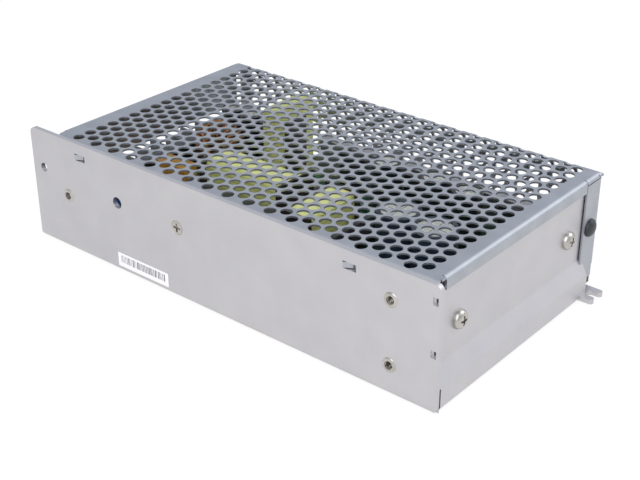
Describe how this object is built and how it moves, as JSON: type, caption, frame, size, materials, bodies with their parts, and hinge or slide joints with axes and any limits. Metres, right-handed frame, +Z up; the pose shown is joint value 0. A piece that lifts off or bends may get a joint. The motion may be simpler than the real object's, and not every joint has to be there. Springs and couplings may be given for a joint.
{
  "type": "mesh case switching power supply",
  "caption": "Enclosed mains power supply: folded aluminium chassis with ear and end wall, perforated steel cover, barrier terminals, trimmer and fitted circuit board.",
  "frame": {"origin": "middle of the base's underside, between the ear's edge and the end wall's foot", "axes": "+X along the case from the terminals to the end wall, +Y from the long wall to the cover's far wall, +Z up"},
  "size_m": [0.209, 0.1105, 0.05],
  "materials": {
    "aluminium_sheet": "satin rolled sheet",
    "zinc_sheet": "zinc-plated steel",
    "nickel_steel": "nickel-plated steel",
    "black_nylon": "moulded nylon",
    "black_film": "polyester film",
    "green_board": "solder mask on glass epoxy",
    "block_black": "moulded thermoplastic",
    "tinned_brass": "tinned",
    "trimmer_blue": "moulded plastic",
    "rotor_cream": "moulded plastic",
    "lamp_green": "tinted clear plastic",
    "ferrite": "ground ferrite",
    "yellow_tape": "polyester tape",
    "bobbin_black": "moulded phenolic",
    "copper_wire": "enamelled copper",
    "can_aluminium": "drawn",
    "sleeve_blue": "shrink sleeve",
    "sleeve_black": "shrink sleeve",
    "epoxy_blue": "dipped epoxy",
    "epoxy_dark": "dipped silicone",
    "film_yellow": "moulded box",
    "fuse_glass": "clear",
    "package_black": "moulded epoxy",
    "resistor_body": "lacquer",
    "label_white": "coated paper"
  },
  "bodies": {
    "case": {"chassis": "aluminium_sheet", "perforated_cover": "zinc_sheet", "mounting_inserts": "nickel_steel", "side_screw": "nickel_steel", "end_screws": "nickel_steel", "clamp_nuts": "nickel_steel", "snap_rivet": "black_nylon", "insulating_sheet": "black_film", "circuit_board": "green_board", "board_standoffs": "nickel_steel", "board_screws": "nickel_steel", "terminal_block": "block_black", "terminal_contacts": "tinned_brass", "terminal_clamps": "nickel_steel", "terminal_screws": "nickel_steel", "voltage_trimmer": "trimmer_blue", "power_lamp": "lamp_green", "filter_choke_core": "ferrite", "filter_choke_windings": "copper_wire", "output_choke_core": "ferrite", "output_choke_winding": "copper_wire", "main_transformer_core": "ferrite", "main_transformer_bobbin": "bobbin_black", "main_transformer_winding": "yellow_tape", "drive_transformer_core": "ferrite", "drive_transformer_bobbin": "bobbin_black", "drive_transformer_winding": "yellow_tape", "edge_choke_frame": "yellow_tape", "edge_choke_coil": "bobbin_black", "reservoir_cans": "can_aluminium", "reservoir_sleeves": "sleeve_blue", "smoothing_cans": "can_aluminium", "smoothing_sleeves": "sleeve_black", "varistor": "epoxy_blue", "thermistor": "epoxy_dark", "disc_capacitors": "epoxy_blue", "film_capacitor": "film_yellow", "fuse": "fuse_glass", "fuse_ends": "nickel_steel", "switching_transistors": "package_black", "wall_transistor": "package_black", "output_heatsink": "aluminium_sheet", "output_diodes": "package_black", "bridge_rectifier": "package_black", "control_board": "green_board", "control_chips": "package_black", "optocouplers": "package_black", "power_resistors": "resistor_body", "barcode_label": "label_white"},
    "rotor": {"trimmer_rotor": "rotor_cream"}
  },
  "joints": [
    {"name": "trimmer_turn", "type": "hinge", "parent": "case", "child": "rotor", "pos_m": [-0.099, 0.0428, 0.0144], "axis": [-1, 0, 0], "range_deg": [-105, 105]}
  ]
}
